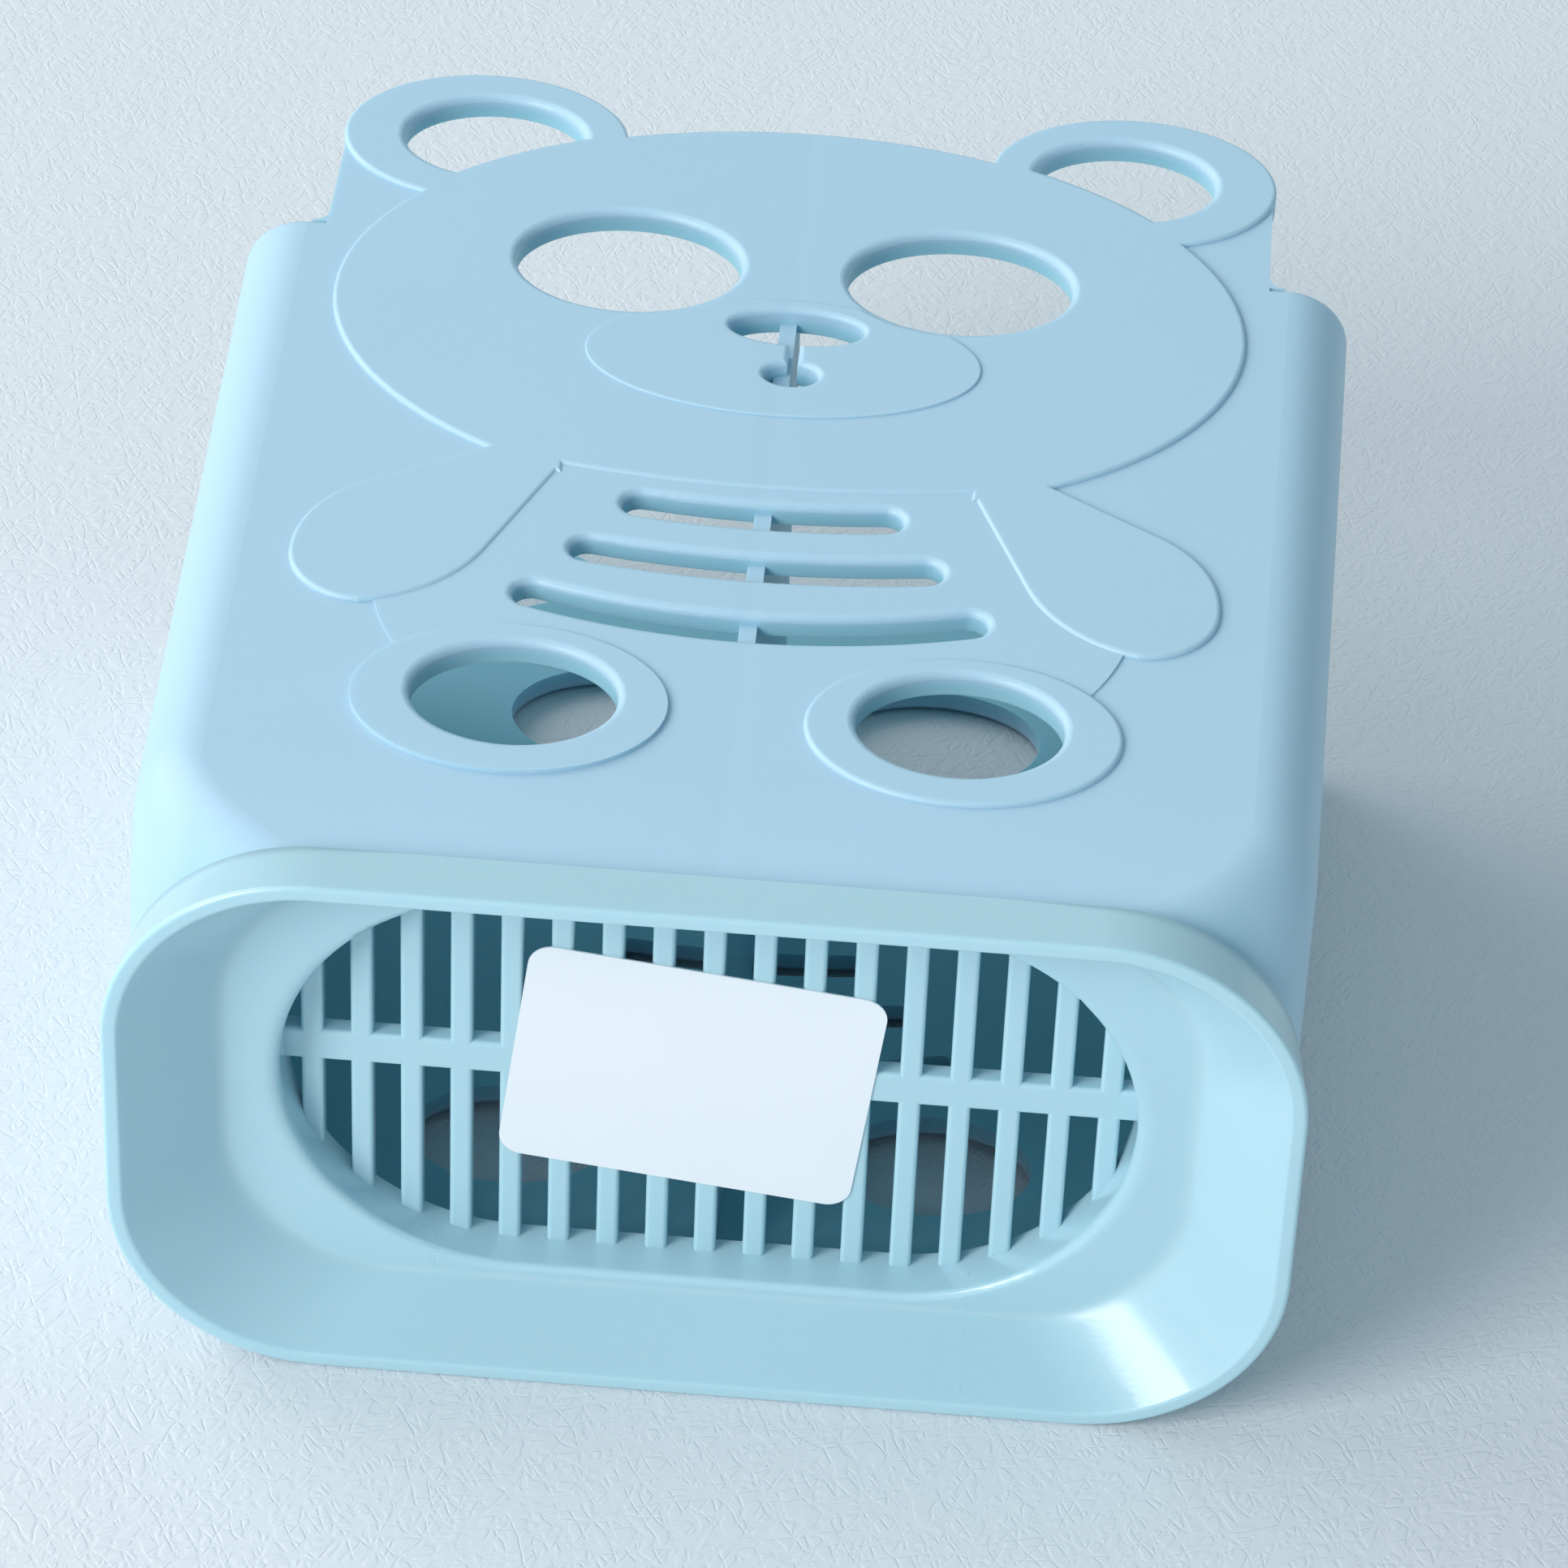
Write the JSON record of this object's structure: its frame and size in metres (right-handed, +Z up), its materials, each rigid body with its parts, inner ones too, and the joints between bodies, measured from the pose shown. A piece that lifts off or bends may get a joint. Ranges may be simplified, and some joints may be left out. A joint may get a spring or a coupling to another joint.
{
  "type": "chopstick holder",
  "caption": "Free-standing chopstick holder: open-top body with a bear cut into both faces, an inner divider, and a push-on foot with a drainage grille.",
  "frame": {"origin": "centre of the foot, on the surface it stands on", "axes": "+Z up, +X to the right of the front face, -Y out of the front face"},
  "size_m": [0.135, 0.075, 0.16],
  "materials": {
    "plastic": "satin moulded polypropylene, pale blue",
    "label_stock": "smooth white sticker, left blank"
  },
  "bodies": {
    "foot": {"base": "plastic", "label": "label_stock"},
    "holder": {"body": "plastic"}
  },
  "joints": [
    {"name": "body_lift", "type": "slide", "parent": "foot", "child": "holder", "axis": [0, 0, 1], "range_m": [0, 0.05]}
  ]
}
